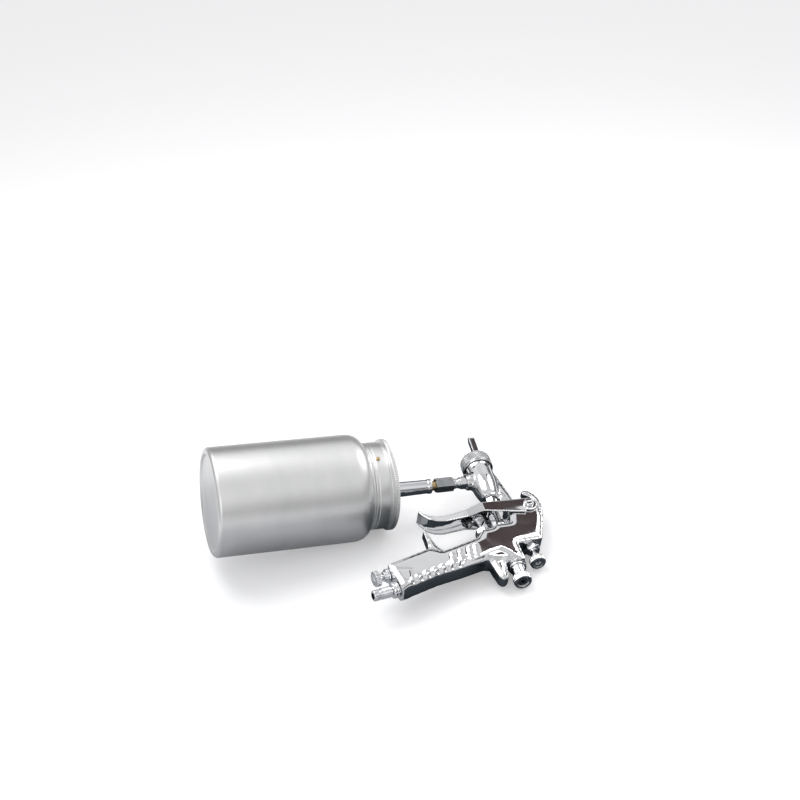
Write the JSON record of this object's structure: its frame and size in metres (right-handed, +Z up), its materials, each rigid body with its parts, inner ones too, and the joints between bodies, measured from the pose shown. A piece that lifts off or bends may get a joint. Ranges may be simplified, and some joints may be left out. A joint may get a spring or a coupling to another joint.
{
  "type": "siphon-feed spray gun",
  "caption": "Siphon-feed air spray gun lying on its side, with a cylindrical aluminium cup screwed under its head, a hooked body, a curled trigger and knurled valve knobs.",
  "frame": {"origin": "centre of the bounding box, on the surface the gun lies on", "axes": "+Z up off the surface; +X close to the cup axis, from the cup base towards the gun; +Y forwards, the way the air cap points"},
  "size_m": [0.3204, 0.2, 0.1234],
  "materials": {
    "body_chrome": "bright chrome plate over forged aluminium",
    "chrome": "bright chrome plate",
    "steel": "satin nickel or bare stainless steel",
    "brass": "bare brass",
    "satin_aluminium": "spun, fine circumferential brushing",
    "grey_zinc": "dull grey zinc plate",
    "seal": "black seal material"
  },
  "bodies": {
    "gun": {"gun_body": "body_chrome", "fluid_nozzle": "steel", "baffle_ring": "brass", "needle_packing": "seal", "packing_nut": "chrome", "pivot_screw": "chrome", "pivot_nut": "chrome", "air_valve_body": "chrome", "air_valve_seat": "seal", "air_valve_spring": "steel", "needle_guide": "chrome", "needle_spring": "steel", "needle_housing": "chrome", "spreader_gland": "chrome", "spreader_seal": "seal", "handle_valve_gland": "chrome", "handle_valve_seal": "seal", "inlet_collar": "chrome", "air_inlet": "chrome", "fluid_inlet": "chrome"},
    "retaining_ring_body": {"retaining_ring": "steel"},
    "air_cap_body": {"air_cap": "chrome"},
    "trigger_body": {"trigger": "chrome"},
    "needle_body": {"needle": "steel", "needle_collet": "steel"},
    "air_valve_moving": {"air_valve_stem": "steel", "air_valve_poppet": "brass"},
    "fluid_knob_body": {"fluid_adjuster": "steel", "fluid_knob": "chrome"},
    "spreader_knob_body": {"spreader_stem": "steel", "spreader_knob": "chrome"},
    "handle_knob_body": {"handle_valve_stem": "steel", "handle_valve_knob": "chrome"},
    "swivel_nut_body": {"swivel_nut": "grey_zinc"},
    "lid_body": {"lid": "satin_aluminium", "lid_gasket": "seal", "outlet_tube": "chrome", "ferrule": "brass", "pickup_tube": "steel", "strainer": "brass"},
    "lid_collar_body": {"lid_collar": "satin_aluminium", "vent_plug": "brass"},
    "cup_body": {"cup": "satin_aluminium"}
  },
  "joints": [
    {"name": "trigger_pull", "type": "hinge", "parent": "gun", "child": "trigger_body", "pos_m": [0.14111, -0.01125, 0.01697], "axis": [0.1546, -0.1542, 0.9759], "range_deg": [0, 9], "stiffness_Nm_per_rad": 2, "springref_deg": -17.19, "deforming": ["needle_spring", "air_valve_spring"]},
    {"name": "needle_draw", "type": "slide", "parent": "gun", "child": "needle_body", "axis": [-0.0809, -0.9864, -0.143], "range_m": [0, 0.0052]},
    {"name": "air_valve_push", "type": "slide", "parent": "gun", "child": "air_valve_moving", "axis": [-0.0809, -0.9864, -0.143], "range_m": [0, 0.0083]},
    {"name": "retaining_ring_turn", "type": "hinge", "parent": "gun", "child": "retaining_ring_body", "pos_m": [0.11617, 0.04969, 0.03055], "axis": [0.0809, 0.9864, 0.143], "continuous": true},
    {"name": "air_cap_turn", "type": "hinge", "parent": "gun", "child": "air_cap_body", "pos_m": [0.11617, 0.04969, 0.03055], "axis": [0.0809, 0.9864, 0.143], "range_deg": [-90, 90]},
    {"name": "fluid_knob_turn", "type": "hinge", "parent": "gun", "child": "fluid_knob_body", "pos_m": [0.11617, 0.04969, 0.03055], "axis": [-0.0809, -0.9864, -0.143], "range_deg": [0, 720]},
    {"name": "spreader_knob_turn", "type": "hinge", "parent": "gun", "child": "spreader_knob_body", "pos_m": [0.13744, 0.04846, 0.02698], "axis": [-0.0809, -0.9864, -0.143], "range_deg": [0, 720]},
    {"name": "handle_knob_turn", "type": "hinge", "parent": "gun", "child": "handle_knob_body", "pos_m": [-0.0142, -0.07083, 0.03216], "axis": [-0.975, -0.1834, 0.1255], "range_deg": [0, 720]},
    {"name": "swivel_nut_turn", "type": "hinge", "parent": "gun", "child": "swivel_nut_body", "pos_m": [0.07457, 0.0398, 0.03558], "axis": [0.9879, 0.0121, -0.1546], "continuous": true},
    {"name": "cup_swing", "type": "hinge", "parent": "gun", "child": "lid_body", "pos_m": [0.04493, 0.03944, 0.04021], "axis": [0.9879, 0.0121, -0.1546], "range_deg": [-45, 45]},
    {"name": "lid_collar_turn", "type": "hinge", "parent": "lid_body", "child": "lid_collar_body", "pos_m": [0.01047, 0.0484, 0.04709], "axis": [0.9879, 0.0121, -0.1546], "continuous": true},
    {"name": "cup_removal", "type": "slide", "parent": "lid_body", "child": "cup_body", "axis": [-0.9879, -0.0121, 0.1546], "range_m": [0, 0.17]}
  ],
  "couplings": [
    {"joint": "needle_draw", "follows": "trigger_pull", "m_per_rad": 0.0303},
    {"joint": "air_valve_push", "follows": "trigger_pull", "m_per_rad": 0.0512}
  ]
}
